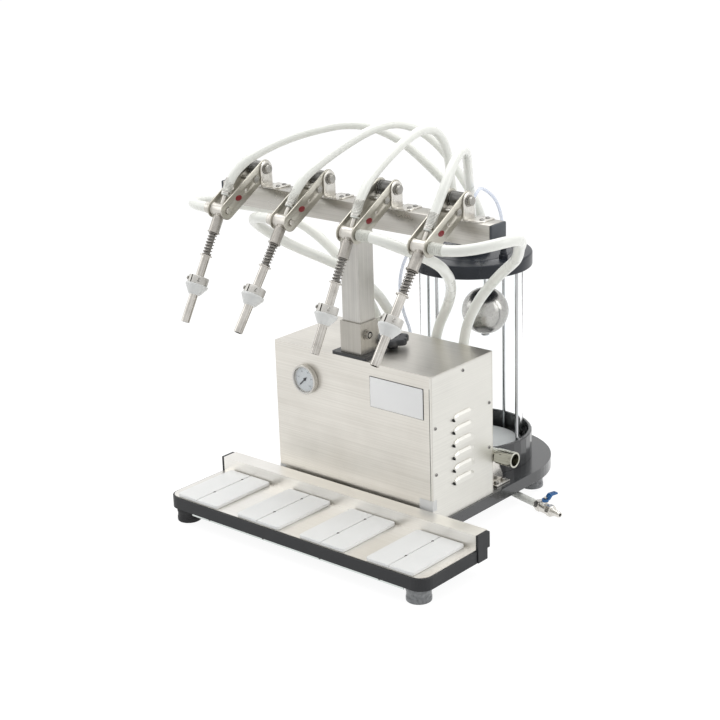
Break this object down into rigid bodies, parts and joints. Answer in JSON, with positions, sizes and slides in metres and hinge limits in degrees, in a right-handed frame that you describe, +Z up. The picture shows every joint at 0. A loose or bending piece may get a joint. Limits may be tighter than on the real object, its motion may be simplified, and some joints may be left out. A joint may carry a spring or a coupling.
{
  "type": "vacuum filling machine",
  "caption": "Bench-top vacuum filler: sprung filling spouts on a height-adjustable beam over a bottle tray, with a pump case, gauge, regulator knob and an overflow jar with a float.",
  "frame": {"origin": "on the floor, under the middle of the machine's plan without its hoses", "axes": "+X to the operator's right, +Y from the bottle tray to the overflow jar, +Z up"},
  "size_m": [0.6935, 0.6684, 0.7148],
  "materials": {
    "stainless": "fine brushed stainless",
    "fastener_steel": "dull steel",
    "spring_steel": "drawn wire",
    "nickel": "nickel plate",
    "pump_casting": "painted casting",
    "black_plate": "fine matt",
    "black_plastic": "satin",
    "gloss_black": "gloss",
    "white_plastic": "satin",
    "spout_white": "satin",
    "black_rubber": "matt",
    "grey_rubber": "translucent",
    "blue_plastic": "gloss",
    "milky_hose": "milky, translucent",
    "air_tube_clear": "clear",
    "jar_clear": "clear, polished"
  },
  "bodies": {
    "root": {"base_plate": "black_plate", "tray_frame": "black_plate", "tray_pan": "stainless", "bottle_rest_1": "white_plastic", "bottle_rest_2": "white_plastic", "bottle_rest_3": "white_plastic", "bottle_rest_4": "white_plastic", "foot_front_left": "black_rubber", "foot_front_right": "grey_rubber", "foot_rear_left": "black_rubber", "foot_rear_right": "grey_rubber", "case_cover": "stainless", "case_side_right": "stainless", "case_side_left": "stainless", "gauge_housing": "stainless", "vacuum_pump": "pump_casting", "mast_flange": "black_plastic", "mast_socket": "stainless", "jar_base": "black_plate", "jar_glass": "jar_clear", "tie_rods": "stainless", "jar_lid": "gloss_black", "manifold": "stainless", "valve_body": "nickel", "vacuum_hose_1": "milky_hose", "filling_hose_1": "milky_hose", "vacuum_hose_2": "milky_hose", "filling_hose_2": "milky_hose", "vacuum_hose_3": "milky_hose", "filling_hose_3": "milky_hose", "vacuum_hose_4": "milky_hose", "filling_hose_4": "milky_hose", "air_tube": "air_tube_clear", "drain_hose": "milky_hose"},
    "mast": {"mast_post": "stainless", "beam": "stainless", "pivot_1": "fastener_steel", "pivot_2": "fastener_steel", "pivot_3": "fastener_steel", "pivot_4": "fastener_steel"},
    "arm_1": {"arm_1": "stainless"},
    "head_1": {"head_1": "stainless", "spring_1": "spring_steel"},
    "spout_1": {"spout_1": "spout_white"},
    "arm_2": {"arm_2": "stainless"},
    "head_2": {"head_2": "stainless", "spring_2": "spring_steel"},
    "spout_2": {"spout_2": "spout_white"},
    "arm_3": {"arm_3": "stainless"},
    "head_3": {"head_3": "stainless", "spring_3": "spring_steel"},
    "spout_3": {"spout_3": "spout_white"},
    "arm_4": {"arm_4": "stainless"},
    "head_4": {"head_4": "stainless", "spring_4": "spring_steel"},
    "spout_4": {"spout_4": "spout_white"},
    "vacuum_knob": {"vacuum_knob": "black_plastic"},
    "valve_lever": {"valve_lever": "blue_plastic"},
    "float": {"float": "stainless"},
    "gauge_needle": {"gauge_needle": "black_plastic"}
  },
  "joints": [
    {"name": "mast_height", "type": "slide", "parent": "root", "child": "mast", "axis": [0, 0, 1], "range_m": [-0.12, 0.06], "deforming": ["vacuum_hose_1", "vacuum_hose_2", "vacuum_hose_3", "vacuum_hose_4", "filling_hose_1", "filling_hose_2", "filling_hose_3", "filling_hose_4"]},
    {"name": "arm_lift_1", "type": "hinge", "parent": "mast", "child": "arm_1", "pos_m": [-0.21925, -0.10579, 0.6315], "axis": [-1, 0, 0], "range_deg": [0, 30], "stiffness_Nm_per_rad": 0.5, "springref_deg": -28.65},
    {"name": "spout_swing_1", "type": "hinge", "parent": "arm_1", "child": "head_1", "pos_m": [-0.21925, -0.20421, 0.57398], "axis": [1, 0, 0], "range_deg": [-15, 29.6]},
    {"name": "spout_slide_1", "type": "slide", "parent": "head_1", "child": "spout_1", "axis": [0, 0.4939, 0.8695], "range_m": [0, 0.02], "stiffness_N_per_m": 300, "springref_m": -0.012, "deforming": ["spring_1"]},
    {"name": "arm_lift_2", "type": "hinge", "parent": "mast", "child": "arm_2", "pos_m": [-0.06925, -0.10579, 0.6315], "axis": [-1, 0, 0], "range_deg": [0, 30], "stiffness_Nm_per_rad": 0.5, "springref_deg": -28.65},
    {"name": "spout_swing_2", "type": "hinge", "parent": "arm_2", "child": "head_2", "pos_m": [-0.06925, -0.20421, 0.57398], "axis": [1, 0, 0], "range_deg": [-15, 36.4]},
    {"name": "spout_slide_2", "type": "slide", "parent": "head_2", "child": "spout_2", "axis": [0, 0.5934, 0.8049], "range_m": [0, 0.02], "stiffness_N_per_m": 300, "springref_m": -0.012, "deforming": ["spring_2"]},
    {"name": "arm_lift_3", "type": "hinge", "parent": "mast", "child": "arm_3", "pos_m": [0.08075, -0.10579, 0.6315], "axis": [-1, 0, 0], "range_deg": [0, 30], "stiffness_Nm_per_rad": 0.5, "springref_deg": -28.65},
    {"name": "spout_swing_3", "type": "hinge", "parent": "arm_3", "child": "head_3", "pos_m": [0.08075, -0.20421, 0.57398], "axis": [1, 0, 0], "range_deg": [-15, 28.3]},
    {"name": "spout_slide_3", "type": "slide", "parent": "head_3", "child": "spout_3", "axis": [0, 0.4741, 0.8805], "range_m": [0, 0.02], "stiffness_N_per_m": 300, "springref_m": -0.012, "deforming": ["spring_3"]},
    {"name": "arm_lift_4", "type": "hinge", "parent": "mast", "child": "arm_4", "pos_m": [0.23075, -0.10579, 0.6315], "axis": [-1, 0, 0], "range_deg": [0, 30], "stiffness_Nm_per_rad": 0.5, "springref_deg": -28.65},
    {"name": "spout_swing_4", "type": "hinge", "parent": "arm_4", "child": "head_4", "pos_m": [0.23075, -0.20421, 0.57398], "axis": [1, 0, 0], "range_deg": [-15, 36.8]},
    {"name": "spout_slide_4", "type": "slide", "parent": "head_4", "child": "spout_4", "axis": [0, 0.599, 0.8007], "range_m": [0, 0.02], "stiffness_N_per_m": 300, "springref_m": -0.012, "deforming": ["spring_4"]},
    {"name": "vacuum_knob_turn", "type": "hinge", "parent": "root", "child": "vacuum_knob", "pos_m": [0.02375, -0.03528, 0.3208], "axis": [0, 0, 1], "range_deg": [0, 270]},
    {"name": "valve_lever_turn", "type": "hinge", "parent": "root", "child": "valve_lever", "pos_m": [0.24657, 0.12117, 0.0246], "axis": [0, 0, 1], "range_deg": [0, 90]},
    {"name": "float_rise", "type": "slide", "parent": "root", "child": "float", "axis": [0, 0, 1], "range_m": [0, 0.04]},
    {"name": "gauge_needle_turn", "type": "hinge", "parent": "root", "child": "gauge_needle", "pos_m": [-0.10425, -0.13109, 0.261], "axis": [0, 1, 0], "range_deg": [0, 270], "stiffness_Nm_per_rad": 0.0005, "springref_deg": -11.46}
  ]
}
